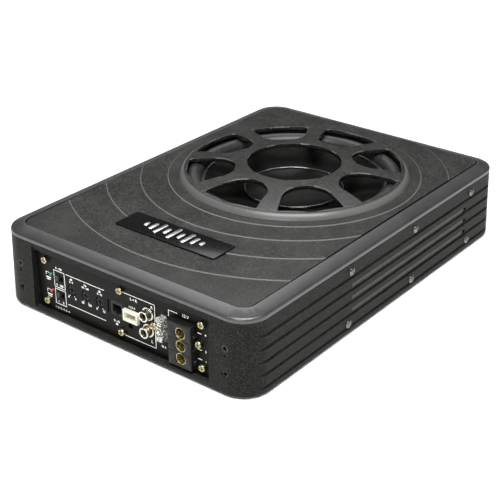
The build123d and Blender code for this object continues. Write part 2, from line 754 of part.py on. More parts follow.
def panel_slot(x, z, width, height):
    return block(x - width / 2, x + width / 2, PANEL_FRONT_Y - 1, PANEL_BACK_Y + 1,
                 z - height / 2, z + height / 2)


def panel_screws():
    """Pan-head screws with a cross recess."""
    screws = []
    for x, z in PANEL_SCREWS:
        head = along_y(2.9, -169.4, PANEL_FRONT_Y, x, z)
        head = fillet(head.faces().sort_by(Axis.Y)[0].edges(), 0.9)
        head -= Pos(x, -169.2, z) * Box(3.8, 1.6, 0.9)
        head -= Pos(x, -169.2, z) * Box(0.9, 1.6, 3.8)
        screws.append(head + along_y(1.45, PANEL_FRONT_Y - 0.5, -158.5, x, z))
    return group(screws)


def board_spacers():
    """Hexagon spacers between the panel and the control board."""
    spacers = []
    for x, z in PANEL_SCREWS:
        hexagon = Plane.XZ.offset(-BOARD_FRONT_Y) * Pos(x, z) * RegularPolygon(2.9, 6)
        spacer = extrude(hexagon, amount=BOARD_FRONT_Y - PANEL_BACK_Y)
        spacers.append(spacer - along_y(1.5, PANEL_BACK_Y - 1, BOARD_FRONT_Y + 1, x, z))
    return group(spacers)


def control_board():
    return block(-88, 88, BOARD_FRONT_Y, BOARD_BACK_Y, 6.0, 53.0)


def pot_bodies():
    """The three rotary controls behind the panel."""
    bodies = []
    for _, x in KNOBS:
        body = block(x - 5.5, x + 5.5, -163.6, BOARD_FRONT_Y, KNOB_Z - 5.5, KNOB_Z + 5.5)
        bodies.append(body - along_y(1.56, -165, -159, x, KNOB_Z))
    return group(bodies)


def knob(x):
    """A short slotted knob on its shaft."""
    body = along_y(3.7, -166.2, -163.8, x, KNOB_Z)
    body -= Pos(x, -166.2, KNOB_Z) * Box(5.4, 1.8, 1.1)
    body -= Pos(x, -166.2, KNOB_Z) * Box(1.1, 1.8, 5.4)
    return body + along_y(1.5, -164.5, -159.4, x, KNOB_Z)


def switch_bodies():
    """The two slide switches behind the panel."""
    bodies = []
    for _, z in SWITCHES:
        body = block(SWITCH_X - 6.5, SWITCH_X + 6.5, -163.8, BOARD_FRONT_Y, z - 4.4, z + 4.4)
        pocket = block(SWITCH_X - 4.2, SWITCH_X + 4.2, -165, -160.8, z - 2.1, z + 2.1)
        bodies.append(body - pocket)
    return group(bodies)


def slider(z):
    """A switch button, resting at the left end of its slot."""
    x = SWITCH_X - SWITCH_TRAVEL / 2
    button = block(x - 1.8, x + 1.8, -168.0, -161.0, z - 1.9, z + 1.9)
    for offset in (-0.9, 0.0, 0.9):
        button -= block(x + offset - 0.2, x + offset + 0.2, -169, -167.6, z - 3, z + 3)
    return button


def led(z):
    """A small round indicator lens on the board."""
    lens = along_y(1.6, -167.2, BOARD_FRONT_Y, LED_X, z)
    tip = Pos(LED_X, -167.2, z) * Sphere(1.6)
    return lens + tip


def remote_jack():
    """Modular socket for the wired level remote."""
    front = block(JACK_X - 6, JACK_X + 6, -166.4, -164.3, JACK_Z - 6, JACK_Z + 6)
    rear = block(JACK_X - 7, JACK_X + 7, -164.3, BOARD_FRONT_Y, JACK_Z - 7, JACK_Z + 7)
    cavity = block(JACK_X - 4.2, JACK_X + 4.2, -167, -158.4, JACK_Z - 3.4, JACK_Z + 3.2)
    latch = block(JACK_X - 2.0, JACK_X + 2.0, -167, -160, JACK_Z - 4.8, JACK_Z)
    return front + rear - cavity - latch


def remote_contacts():
    """Spring wires at the top of the modular socket."""
    return group(block(JACK_X + x - 0.25, JACK_X + x + 0.25, -164.8, -158.4,
                       JACK_Z + 2.4, JACK_Z + 2.9) for x in (-2.2, -0.75, 0.75, 2.2))


def input_socket():
    """Four-way socket for leads from a radio's speaker outputs."""
    shell = block(SOCKET_X - SOCKET_HALF_X, SOCKET_X + SOCKET_HALF_X, -169.2, BOARD_FRONT_Y,
                  SOCKET_Z - SOCKET_HALF_Z, SOCKET_Z + SOCKET_HALF_Z)
    cavity = block(SOCKET_X - CAVITY_HALF_X, SOCKET_X + CAVITY_HALF_X, -170, -160.2,
                   SOCKET_Z + CAVITY_LOW, SOCKET_Z + CAVITY_HIGH)
    return shell - cavity


def socket_pins():
    return group(block(SOCKET_X + x - 0.4, SOCKET_X + x + 0.4, -164.6, -160.2,
                       SOCKET_Z - 0.4, SOCKET_Z + 0.4) for x in (-4.2, -1.4, 1.4, 4.2))


def rca_block():
    """Black body behind the two phono sockets."""
    return block(20.8, 30.4, PANEL_BACK_Y, BOARD_FRONT_Y, 15.0, 44.0)


def rca_shells():
    """Outer contacts of the phono sockets."""
    shells = []
    for z in RCA_ZS:
        shell = along_y(RCA_SLEEVE, FACE_Y, PANEL_BACK_Y, RCA_X, z)
        shell += along_y(5.2, -167.4, PANEL_FRONT_Y, RCA_X, z)
        shell -= along_y(RCA_BORE, FACE_Y - 1, PANEL_BACK_Y + 1, RCA_X, z)
        shells.append(shell)
    return group(shells)


def rca_insulators():
    """Dark cores of the phono sockets, each with a hole for the plug's pin."""
    cores = []
    for z in RCA_ZS:
        core = along_y(RCA_BORE, -171.2, PANEL_BACK_Y, RCA_X, z)
        cores.append(core - along_y(1.6, -172, -165.5, RCA_X, z))
    return group(cores)


def fuse_holder():
    """Socket for a blade fuse."""
    body = block(FUSE_X - 4.4, FUSE_X + 4.4, PANEL_BACK_Y, BOARD_FRONT_Y,
                 FUSE_Z - 12.4, FUSE_Z + 12.4)
    body += block(FUSE_X - 3.1, FUSE_X + 3.1, PANEL_FRONT_Y, PANEL_BACK_Y,
                  FUSE_Z - 11.1, FUSE_Z + 11.1)
    body -= block(FUSE_X - 2.7, FUSE_X + 2.7, -167, -165.4, FUSE_Z - 9.8, FUSE_Z + 9.8)
    for z in BLADE_ZS:
        body -= block(FUSE_X - 0.45, FUSE_X + 0.45, -168, -157.4,
                      FUSE_Z + z - 2.8, FUSE_Z + z + 2.8)
    return body


def fuse_body():
    """Clear body of the blade fuse, hollow round its element."""
    half = FUSE_HEIGHT / 2
    body = block(FUSE_X - 2.5, FUSE_X + 2.5, FACE_Y, -165.5, FUSE_Z - half, FUSE_Z + half)
    body = fillet(body.edges().filter_by(Axis.X), 0.8)
    for z in BLADE_ZS:
        body -= block(FUSE_X - 0.4, FUSE_X + 0.4, -170.0, -165, FUSE_Z + z - 2.6, FUSE_Z + z + 2.6)
    body -= block(FUSE_X - 0.4, FUSE_X + 0.4, -170.0, -167.5, FUSE_Z - 5, FUSE_Z + 5)
    return body


def fuse_blades():
    """The two blades joined by a thin link."""
    metal = None
    for z in BLADE_ZS:
        blade = block(FUSE_X - 0.33, FUSE_X + 0.33, -169.8, -158.0,
                      FUSE_Z + z - 2.5, FUSE_Z + z + 2.5)
        metal = blade if metal is None else metal + blade
    return metal + block(FUSE_X - 0.2, FUSE_X + 0.2, -169.4, -168.2, FUSE_Z - 5, FUSE_Z + 5)


def terminal_housing():
    """Insulated block for the three power leads."""
    low_x, high_x = TERMINAL_X - TERMINAL_WIDTH / 2, TERMINAL_X + TERMINAL_WIDTH / 2
    low_z, high_z = TERMINAL_Z - TERMINAL_HEIGHT / 2, TERMINAL_Z + TERMINAL_HEIGHT / 2
    body = block(low_x, high_x, FACE_Y, BOARD_FRONT_Y, low_z, high_z)
    body = chamfer(body.faces().sort_by(Axis.Y)[0].edges(), 0.5)
    for z in CAGE_ZS:
        body -= along_y(4.8, FACE_Y - 1, BOARD_FRONT_Y + 1, CAGE_X, z)
        body -= along_x(CLAMP_RADIUS + 0.06, CAGE_X, high_x + 1, CLAMP_Y, z)
    for z in (19.7, 29.9):
        body -= block(low_x - 1, high_x + 1, FACE_Y - 1, FACE_Y + 0.5, z - 0.35, z + 0.35)
    return body


def terminal_cages():
    """Brass clamps that the power leads enter."""
    cages = []
    for z in CAGE_ZS:
        tube = along_y(4.7, -171.8, BOARD_FRONT_Y - 0.1, CAGE_X, z)
        tube -= along_y(CAGE_BORE, -173, -161.0, CAGE_X, z)
        cages.append(tube)
    return group(cages)


def clamp_screw(z):
    """A set screw with a hexagon socket, from the side of the block."""
    end_x = TERMINAL_X + TERMINAL_WIDTH / 2 - 0.3
    screw = along_x(CLAMP_RADIUS, CAGE_X + 4.8, end_x, CLAMP_Y, z)
    socket = Plane.YZ.offset(end_x + 0.2) * Pos(CLAMP_Y, z) * RegularPolygon(1.15, 6)
    return screw - extrude(socket, amount=-2.2)


parts = {
    "casing": casing(),
    "top_frame": top_frame(),
    "grille_panel": grille_panel(),
    "badge_plate": badge_plate(),
    "badge_bars": badge_bars(),
    "bottom_plate": bottom_plate(),
    "bottom_screws": bottom_screws(),
    "rubber_feet": rubber_feet(),
    "side_screws": side_screws(),
    "side_inlays": side_inlays(),
    "mounting_inserts": mounting_inserts(),
    "basket": basket(),
    "speaker_screws": speaker_screws(),
    "speaker_gasket": speaker_gasket(),
    "surround": surround(),
    "cone": cone(),
    "dust_cap": dust_cap(),
    "dust_cap_ring": dust_cap_ring(),
    "coil_former": coil_former(),
    "voice_coil": voice_coil(),
    "spider": spider(),
    "top_plate": ring(GAP_RADIUS, 50.0, 25.5, BASKET_BASE_Z),
    "magnet": ring(32.0, 54.0, 11.5, 25.5),
    "yoke": yoke(),
    "speaker_terminals": speaker_terminals(),
    "tinsel_leads": tinsel_leads(),
    "speaker_wires": speaker_wires(),
    "main_board": main_board(),
    "power_transformer": power_transformer(),
    "capacitors": capacitors(),
    "transistors": transistors(),
    "heat_spreaders": heat_spreaders(),
    "control_panel": control_panel(),
    "panel_screws": panel_screws(),
    "board_spacers": board_spacers(),
    "control_board": control_board(),
    "pot_bodies": pot_bodies(),
    "switch_bodies": switch_bodies(),
    "remote_jack": remote_jack(),
    "remote_contacts": remote_contacts(),
    "input_socket": input_socket(),
    "socket_pins": socket_pins(),
    "rca_block": rca_block(),
    "rca_shells": rca_shells(),
    "rca_insulators": rca_insulators(),
    "fuse_holder": fuse_holder(),
    "fuse_body": fuse_body(),
    "fuse_blades": fuse_blades(),
    "terminal_housing": terminal_housing(),
    "terminal_cages": terminal_cages(),
}
for name, x in KNOBS:
    parts[name] = knob(x)
for name, z in SWITCHES:
    parts[name] = slider(z)
for name, z in LEDS:
    parts[name] = led(z)
for number, z in enumerate(CAGE_ZS, start=1):
    parts[f"clamp_screw_{number}"] = clamp_screw(z)

for name, shape in parts.items():
    export_step(shape, f"parts/{name}.step")
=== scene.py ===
"""Looks of the powered car subwoofer: materials, the sculpted grille, soft parts and panel marks.

Blender works in metres. Sizes below are named in millimetres and turned to metres by MM.
The origin is on the floor under the middle of the casing, and the control panel faces -Y.
"""

import json
import math

import bmesh
import bpy
from mathutils import Matrix, Vector


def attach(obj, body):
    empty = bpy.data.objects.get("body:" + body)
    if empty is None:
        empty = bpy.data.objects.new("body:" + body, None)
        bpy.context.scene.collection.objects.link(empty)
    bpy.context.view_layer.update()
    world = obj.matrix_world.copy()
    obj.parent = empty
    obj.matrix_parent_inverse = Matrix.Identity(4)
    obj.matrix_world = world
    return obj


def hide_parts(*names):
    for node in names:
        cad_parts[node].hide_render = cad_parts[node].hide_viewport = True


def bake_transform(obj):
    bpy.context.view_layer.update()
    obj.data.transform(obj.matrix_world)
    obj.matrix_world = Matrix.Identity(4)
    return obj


MM = 0.001

# Top panel and grille, as in the part
PANEL_HALF_X = 109.07
PANEL_HALF_Y = 159.27
PANEL_CORNER = 9.5
PANEL_TOP_Z = 65.1
PANEL_LOW_Z = 62.9
RIPPLE_RADII = (186.5, 154.5, 126.5, 104.0)
RIPPLE_STEP = 0.4
RIPPLE_RUN = 0.7
DRIVER_Y = 42.5
HUB_RADIUS = 39.0
DOME_CREST_Z = 77.1
DOME_RADIUS = 790.0
DOME_EDGE_RADIUS = 90.2
DOME_FOOT_RADIUS = 94.8
PETALS = 8
PETAL_OUTER_RADIUS = 88.2
PETAL_ROUND_CENTRE = 69.0
PETAL_ROUND_RADIUS = 20.2
PETAL_CORNER = 1.2
LIP_ROUND = 0.8
LIP_DEPTH = 3.4
SHEET_EDGE_ROUND = 0.35
GRILLE_WALL = 2.0
RAY_REACH = 60.0
SHEET_REACH = 300.0

# Woofer
FLANGE_TOP_Z = 60.5
ROLL_RADIUS = 83.3
ROLL_SIZE = 6.7
SURROUND_LIFT = 0.8
SURROUND_INNER, SURROUND_OUTER = 73.9, 92.9
SURROUND_STEPS = 144
SURROUND_WALL = 0.7
SPIDER_Z = 37.5
SPIDER_INNER = 25.4
SPIDER_START = 27.6
SPIDER_OUTER = 60.4
SPIDER_PITCH = 6.3
SPIDER_WAVES = 4
SPIDER_WAVE_HEIGHT = 1.5
SPIDER_WALL = 0.4
SPIDER_STEPS = 120

# Tinsel leads
LEAD_XS = (-7.0, 7.0)
LEAD_START_Y, LEAD_END_Y = -26.0, 0.5
LEAD_START_Z = 47.5
LEAD_DROP = 0.3
LEAD_SAG = 3.3
LEAD_RADIUS = 0.75
LEAD_STEPS = 14

# Colours and widths shared by the finishes
# Width and grey of the painted highlight on the grille panel's step crests, lips and shoulder
HIGHLIGHT_LINE_HALF_WIDTH = 0.75
PAINTED_HIGHLIGHT_GREY = (0.12, 0.12, 0.118)
DUST_COLOUR = (0.20, 0.19, 0.175)
DARK_FLECK = (0.035, 0.035, 0.030)
BUMP_DEPTH = 0.2
EDGE_SOFTNESS = 0.45

# Panel marks
MARK_Y = -166.53
MARK_LINE = 0.5
STROKE = 0.09
TEXT_SIZE_FOR_HEIGHT = 1.38
KNOB_MARKS = (
    (-50.7, "0", "9", "dB", "0 - 9"),
    (-35.9, "50", "150", "Hz", "50 - 150"),
    (-21.2, "0", "12", "dB", "0 - 12"),
)
SWITCH_BOX_X = (-68.9, -57.8)
SWITCH_BOXES = ((26.2, 40.2), (11.9, 24.6))
TERMINAL_MARKS = ((37.7, "+"), (24.6, "1"), (17.0, "-"))

# Camera in metres and degrees, and studio lamps as place, target, width, height and power
CAMERA_PLACE = (0.52887, -0.68319, 0.45299)
CAMERA_YAW, CAMERA_PITCH, CAMERA_ROLL = 38.44, 27.10, -0.30
CAMERA_LENS, CAMERA_SENSOR = 84.64, 36.0
FLOOR_HALF = 6.0
FLOOR_COLOUR = (0.86, 0.86, 0.86)
SKY_STRENGTH = 0.10
LAMPS = {
    "top_box": ((0.55, -0.71, 1.88), (0.0, 0.0, 0.0), 1.9, 0.8, 82.0),
    "back_box": ((-0.90, 1.00, 1.60), (0.0, 0.0, 0.05), 1.1, 0.6, 12.5),
    "side_box": ((1.9, 0.5, 1.1), (0.0, 0.0, 0.03), 0.3, 1.2, 3.5),
    "front_box": ((0.8, -1.8, 0.9), (0.0, 0.0, 0.03), 1.0, 0.3, 10.0),
}

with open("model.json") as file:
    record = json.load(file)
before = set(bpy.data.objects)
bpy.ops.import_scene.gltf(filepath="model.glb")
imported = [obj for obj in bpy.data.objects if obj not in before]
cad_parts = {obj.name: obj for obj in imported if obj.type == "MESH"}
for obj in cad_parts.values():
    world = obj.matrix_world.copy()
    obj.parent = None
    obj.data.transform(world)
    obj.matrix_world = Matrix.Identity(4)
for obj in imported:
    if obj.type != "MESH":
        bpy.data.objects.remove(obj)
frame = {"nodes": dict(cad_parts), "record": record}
NODES = frame["nodes"]
SLOT_OF = {part["node"]: part["material_slot"] for part in frame["record"]["subparts"]}
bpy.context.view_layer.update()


# ---------------------------------------------------------------- shared effects

def new_group(name, inputs, outputs):
    """An empty shader group with named sockets, and its two end nodes."""
    group = bpy.data.node_groups.new(name, "ShaderNodeTree")
    for label, kind, value in inputs:
        socket = group.interface.new_socket(label, in_out="INPUT", socket_type=kind)
        if value is not None:
            socket.default_value = value
    for label, kind in outputs:
        group.interface.new_socket(label, in_out="OUTPUT", socket_type=kind)
    return group, group.nodes.new("NodeGroupInput"), group.nodes.new("NodeGroupOutput")


def add_node(tree, kind, **values):
    """A node with its properties and input defaults set by name."""
    node = tree.nodes.new(kind)
    for key, value in values.items():
        if hasattr(node, key):
            setattr(node, key, value)
        else:
            node.inputs[key.replace("_", " ")].default_value = value
    return node


def maths(tree, operation, first, second=None, clamp=False):
    """A Math node fed by sockets or plain numbers."""
    node = tree.nodes.new("ShaderNodeMath")
    node.operation = operation
    node.use_clamp = clamp
    for slot, value in enumerate((first, second)):
        if value is None:
            continue
        if isinstance(value, (int, float)):
            node.inputs[slot].default_value = value
        else:
            tree.links.new(value, node.inputs[slot])
    return node.outputs[0]


def stretch(tree, value, low, high):
    """Maps low to 0 and high to 1, held between them."""
    node = add_node(tree, "ShaderNodeMapRange", interpolation_type="SMOOTHSTEP", clamp=True)
    node.inputs["From Min"].default_value = low
    node.inputs["From Max"].default_value = high
    tree.links.new(value, node.inputs["Value"])
    return node.outputs["Result"]


def make_grain_group():
    """Fine moulded or sprayed grain: a height, and a mask of its light specks."""
    group, ends_in, ends_out = new_group(
        "Fine grain",
        [("Vector", "NodeSocketVector", None), ("Scale", "NodeSocketFloat", 1500.0)],
        [("Height", "NodeSocketFloat"), ("Specks", "NodeSocketFloat")],
    )
    fine = add_node(group, "ShaderNodeTexNoise", Detail=2.0, Roughness=0.6)
    cells = add_node(group, "ShaderNodeTexVoronoi", feature="F1")
    for texture in (fine, cells):
        group.links.new(ends_in.outputs["Vector"], texture.inputs["Vector"])
        group.links.new(ends_in.outputs["Scale"], texture.inputs["Scale"])
    pebbles = maths(group, "SUBTRACT", 1.0, cells.outputs["Distance"], clamp=True)
    height = maths(group, "ADD", maths(group, "MULTIPLY", pebbles, 0.6), fine.outputs[0])
    group.links.new(height, ends_out.inputs["Height"])
    coarse = add_node(group, "ShaderNodeTexNoise", Detail=3.0, Roughness=0.75)
    group.links.new(ends_in.outputs["Vector"], coarse.inputs["Vector"])
    group.links.new(maths(group, "MULTIPLY", ends_in.outputs["Scale"], 0.42),
                    coarse.inputs["Scale"])
    group.links.new(stretch(group, coarse.outputs[0], 0.42, 0.72), ends_out.inputs["Specks"])
    return group


def make_edge_group():
    """Rounds sharp edges in the shading, and gives a mask of where they are."""
    group, ends_in, ends_out = new_group(
        "Soft edges",
        [("Height", "NodeSocketFloat", 0.0), ("Bump", "NodeSocketFloat", 0.2)],
        [("Normal", "NodeSocketVector"), ("Wear or highlight", "NodeSocketFloat")],
    )
    bump = add_node(group, "ShaderNodeBump", Distance=BUMP_DEPTH * MM)
    group.links.new(ends_in.outputs["Height"], bump.inputs["Height"])
    group.links.new(ends_in.outputs["Bump"], bump.inputs["Strength"])
    rounding = add_node(group, "ShaderNodeBevel", samples=4, Radius=EDGE_SOFTNESS * MM)
    group.links.new(rounding.outputs[0], bump.inputs["Normal"])
    flat = add_node(group, "ShaderNodeNewGeometry")
    facing = add_node(group, "ShaderNodeVectorMath", operation="DOT_PRODUCT")
    group.links.new(rounding.outputs[0], facing.inputs[0])
    group.links.new(flat.outputs["Normal"], facing.inputs[1])
    turned = maths(group, "SUBTRACT", 1.0, facing.outputs["Value"])
    group.links.new(stretch(group, turned, 0.02, 0.16), ends_out.inputs["Wear or highlight"])
    group.links.new(bump.outputs[0], ends_out.inputs["Normal"])
    return group


def make_dust_group():
    """A thin uneven film that lies mostly on surfaces that face up."""
    group, ends_in, ends_out = new_group(
        "Dust film",
        [("Vector", "NodeSocketVector", None), ("Amount", "NodeSocketFloat", 0.3)],
        [("Film", "NodeSocketFloat")],
    )
    cloud = add_node(group, "ShaderNodeTexNoise", Scale=38.0, Detail=5.0, Roughness=0.65)
    group.links.new(ends_in.outputs["Vector"], cloud.inputs["Vector"])
    flat = add_node(group, "ShaderNodeNewGeometry")
    split = add_node(group, "ShaderNodeSeparateXYZ")
    group.links.new(flat.outputs["Normal"], split.inputs[0])
    up = stretch(group, split.outputs["Z"], 0.2, 1.0)
    patches = stretch(group, cloud.outputs[0], 0.35, 0.75)
    film = maths(group, "MULTIPLY", maths(group, "MULTIPLY", up, patches),
                 ends_in.outputs["Amount"])
    group.links.new(film, ends_out.inputs["Film"])
    return group


GRAIN = make_grain_group()
EDGES = make_edge_group()
DUST = make_dust_group()


# ---------------------------------------------------------------- finishes

def use_group(tree, group):
    """A node that puts a shared effect in a material."""
    node = tree.nodes.new("ShaderNodeGroup")
    node.node_tree = group
    return node


def blend_colours(tree, first, second, share):
    """Mixes two colours, or a colour and a socket, by a mask."""
    node = tree.nodes.new("ShaderNodeMix")
    node.data_type = "RGBA"
    for socket, value in ((node.inputs[6], first), (node.inputs[7], second)):
        if isinstance(value, tuple):
            socket.default_value = (*value, 1.0)
        else:
            tree.links.new(value, socket)
    tree.links.new(share, node.inputs[0])
    return node.outputs[2]


def finish(name, colour, roughness, metallic=0.0, grain=1500.0, bump=0.2, speck=0.25,
           wear_or_highlight=0.3, dust=0.2, spread=0.08, specular=0.5, coat=0.0, worn_or_highlit=None):
    """A finish with grain, paler specks, paler edges and a dust film; the paler edges are rubbed
    wear, and on the grille panel a painted highlight along the lips.
    """
    material = bpy.data.materials.new(name)
    material.use_nodes = True
    material.diffuse_color = (*colour, 1.0)
    tree = material.node_tree
    shader = tree.nodes["Principled BSDF"]
    shader.inputs["Metallic"].default_value = metallic
    shader.inputs["Specular IOR Level"].default_value = specular
    shader.inputs["Coat Weight"].default_value = coat
    shader.inputs["Coat Roughness"].default_value = 0.12
    place = tree.nodes.new("ShaderNodeTexCoord").outputs["Object"]
    texture = use_group(tree, GRAIN)
    texture.inputs["Scale"].default_value = grain
    film = use_group(tree, DUST)
    film.inputs["Amount"].default_value = dust
    for node in (texture, film):
        tree.links.new(place, node.inputs["Vector"])
    edge = use_group(tree, EDGES)
    edge.inputs["Bump"].default_value = bump
    tree.links.new(texture.outputs["Height"], edge.inputs["Height"])
    light = tuple(min(1.0, c * (1 + speck * 2.4) + 0.01 * speck) for c in colour)
    rubbed_or_highlit = worn_or_highlit or tuple(min(1.0, c * 1.5 + 0.02) for c in colour)
    specked = blend_colours(tree, colour, light, texture.outputs["Specks"])
    edged = blend_colours(tree, specked, rubbed_or_highlit,
                          maths(tree, "MULTIPLY", edge.outputs["Wear or highlight"], wear_or_highlight))
    dusty = blend_colours(tree, edged, DUST_COLOUR,
                          maths(tree, "MULTIPLY", film.outputs["Film"], 0.25))
    tree.links.new(dusty, shader.inputs["Base Color"])
    varied = maths(tree, "MULTIPLY", texture.outputs["Specks"], spread)
    duller = maths(tree, "MULTIPLY", film.outputs["Film"], 0.3)
    rough = maths(tree, "ADD", maths(tree, "ADD", varied, duller), roughness, clamp=True)
    tree.links.new(rough, shader.inputs["Roughness"])
    tree.links.new(edge.outputs["Normal"], shader.inputs["Normal"])
    return material


FINISHES = {
    "casing": finish("powder_coat", (0.0042, 0.0042, 0.0034), 0.50, grain=1700.0, bump=0.7,
                     speck=1.1, wear_or_highlight=1.0, specular=0.12, worn_or_highlit=(0.06, 0.06, 0.055)),
    "top_frame": finish("satin_rim", (0.017, 0.017, 0.0175), 0.36, grain=2600.0, bump=0.15,
                        speck=0.3, wear_or_highlight=0.3, specular=1.0),
    # The grille panel's pale edge colour is a painted highlight along its rounded lips
    "grille_panel": finish("grained_panel", (0.0085, 0.0085, 0.0080), 0.28, grain=1500.0,
                           bump=0.12, speck=1.4, wear_or_highlight=0.8, spread=0.04, specular=0.32,
                           worn_or_highlit=(0.10, 0.10, 0.095)),
    "badge_plate": finish("smooth_plate", (0.004, 0.004, 0.004), 0.10, bump=0.02, speck=0.2,
                          dust=0.05, specular=0.12),
    "badge_bars": finish("brushed_silver", (0.62, 0.62, 0.63), 0.30, metallic=1.0, grain=2600.0,
                         bump=0.25, speck=0.1),
    "bottom_plate": finish("black_plate", (0.014, 0.014, 0.014), 0.52, bump=0.3),
    "black_screw": finish("black_zinc", (0.16, 0.16, 0.155), 0.20, metallic=0.9, bump=0.05),
    "steel": finish("zinc_steel", (0.50, 0.50, 0.49), 0.32, metallic=1.0, bump=0.1),
    "rubber": finish("soft_rubber", (0.012, 0.012, 0.012), 0.72, bump=0.3, specular=0.3),
    "inlay": finish("knurled_strip", (0.020, 0.020, 0.019), 0.38, bump=0.5, speck=1.2),
    "brass": finish("pale_brass", (0.40, 0.36, 0.21), 0.24, metallic=1.0, bump=0.08, speck=0.1,
                    worn_or_highlit=(0.62, 0.57, 0.38)),
    "basket": finish("painted_basket", (0.010, 0.010, 0.010), 0.40, bump=0.15),
    "foam": finish("closed_foam", (0.020, 0.020, 0.021), 0.85, grain=900.0, bump=0.7),
    "surround": finish("smooth_rubber", (0.014, 0.014, 0.014), 0.42, grain=1200.0, bump=0.06),
    "cone": finish("coated_cone", (0.004, 0.004, 0.0035), 0.50, grain=700.0, bump=0.15,
                   dust=0.05, specular=0.03),
    "dust_cap": finish("satin_cap", (0.005, 0.005, 0.0045), 0.40, grain=500.0, bump=0.04,
                       dust=0.05, specular=0.10),
    "ring": finish("gloss_ring", (0.030, 0.030, 0.031), 0.10, bump=0.03, speck=0.05,
                   specular=0.9, coat=1.0),
    "former": finish("thin_aluminium", (0.60, 0.60, 0.61), 0.35, metallic=1.0),
    "copper": finish("enamelled_copper", (0.50, 0.20, 0.09), 0.30, metallic=0.9, grain=2200.0),
    "spider": finish("treated_cloth", (0.32, 0.22, 0.09), 0.80, grain=2400.0, bump=0.9),
    "black_steel": finish("black_steel", (0.030, 0.030, 0.031), 0.34, metallic=0.6),
    "ferrite": finish("ferrite", (0.038, 0.038, 0.040), 0.60, grain=800.0, bump=0.5),
    "lead": finish("lead_sleeve", (0.24, 0.020, 0.016), 0.42, bump=0.05),
    "board": finish("solder_mask", (0.010, 0.070, 0.028), 0.30, grain=500.0, bump=0.08),
    "sleeve": finish("shrink_sleeve", (0.018, 0.020, 0.060), 0.28, bump=0.05),
    "aluminium": finish("milled_aluminium", (0.48, 0.48, 0.49), 0.36, metallic=1.0, bump=0.2),
    "black_plastic": finish("moulded_black", (0.006, 0.006, 0.0055), 0.30, grain=2300.0,
                            bump=0.12, wear_or_highlight=0.8, specular=0.22, worn_or_highlit=(0.05, 0.05, 0.046)),
    "panel": finish("control_plate", (0.0025, 0.0025, 0.0020), 0.36, grain=2600.0, bump=0.15,
                    speck=0.4, specular=0.10),
    "cream": finish("cream_nylon", (0.60, 0.60, 0.50), 0.42, bump=0.06, speck=0.05,
                    worn_or_highlit=(0.66, 0.66, 0.58)),
    "nickel": finish("nickel_plate", (0.62, 0.59, 0.50), 0.20, metallic=1.0, bump=0.05,
                     speck=0.08),
    "knob": finish("knob_plastic", (0.005, 0.005, 0.005), 0.38, bump=0.1, wear_or_highlight=0.6, specular=0.2),
    "slider": finish("slider_plastic", (0.030, 0.030, 0.031), 0.26, bump=0.06, wear_or_highlight=0.5),
    "fuse": finish("fuse_plastic", (0.62, 0.64, 0.56), 0.16, grain=420.0, bump=0.9),
    "zinc": finish("zinc_alloy", (0.58, 0.58, 0.55), 0.30, metallic=1.0, bump=0.1),
    "green_lens": finish("green_lens", (0.010, 0.110, 0.040), 0.14, bump=0.02, coat=0.6),
    "red_lens": finish("red_lens", (0.240, 0.012, 0.010), 0.14, bump=0.02, coat=0.6),
}
MARKS = finish("white_print", (0.95, 0.95, 0.93), 0.45, bump=0.03, speck=0.02, wear_or_highlight=0.0,
               dust=0.0)


def paint_step_highlights(material):
    """Painted highlights: paler lines along the crests of the panel's four round steps, and paler
    sloping lips and dome shoulder, standing in for lamp light caught there.
    """
    tree = material.node_tree
    shader = tree.nodes["Principled BSDF"]
    place = add_node(tree, "ShaderNodeTexCoord")
    shift = add_node(tree, "ShaderNodeVectorMath", operation="SUBTRACT")
    shift.inputs[1].default_value = (0.0, DRIVER_Y * MM, 0.0)
    flatten = add_node(tree, "ShaderNodeVectorMath", operation="MULTIPLY")
    flatten.inputs[1].default_value = (1.0, 1.0, 0.0)
    length = add_node(tree, "ShaderNodeVectorMath", operation="LENGTH")
    tree.links.new(place.outputs["Object"], shift.inputs[0])
    tree.links.new(shift.outputs[0], flatten.inputs[0])
    tree.links.new(flatten.outputs[0], length.inputs[0])
    total = 0.0
    for radius in RIPPLE_RADII:
        middle = (radius + RIPPLE_RUN * 0.5) * MM
        away = maths(tree, "ABSOLUTE", maths(tree, "SUBTRACT", length.outputs["Value"], middle))
        line = stretch(tree, away, HIGHLIGHT_LINE_HALF_WIDTH * MM, 0.0)
        total = maths(tree, "ADD", line, total)
    # Sloping faces (the lips and the dome shoulder) are painted paler too: a painted highlight
    surface = add_node(tree, "ShaderNodeNewGeometry")
    split = add_node(tree, "ShaderNodeSeparateXYZ")
    tree.links.new(surface.outputs["Normal"], split.inputs[0])
    sloping = maths(tree, "MULTIPLY", stretch(tree, split.outputs["Z"], 0.97, 0.75),
                    stretch(tree, split.outputs["Z"], 0.0, 0.3))
    total = maths(tree, "ADD", total, sloping)
    share = maths(tree, "MULTIPLY", total, 0.8, clamp=True)
    before = shader.inputs["Base Color"].links[0].from_socket
    tree.links.new(blend_colours(tree, before, PAINTED_HIGHLIGHT_GREY, share),
                   shader.inputs["Base Color"])


def crinkled_clear(material):
    """Bright and dark flecks inside a clear moulding."""
    tree = material.node_tree
    shader = tree.nodes["Principled BSDF"]
    place = add_node(tree, "ShaderNodeTexCoord")
    flecks = add_node(tree, "ShaderNodeTexNoise", Scale=430.0, Detail=4.0, Roughness=0.7,
                      Distortion=1.6)
    tree.links.new(place.outputs["Object"], flecks.inputs["Vector"])
    share = stretch(tree, flecks.outputs[0], 0.46, 0.60)
    before = shader.inputs["Base Color"].links[0].from_socket
    tree.links.new(blend_colours(tree, DARK_FLECK, before, share),
                   shader.inputs["Base Color"])


# Painted highlights on the grille panel's step crests, lips and shoulder
paint_step_highlights(FINISHES["grille_panel"])
crinkled_clear(FINISHES["fuse"])


# ---------------------------------------------------------------- carried-over pieces

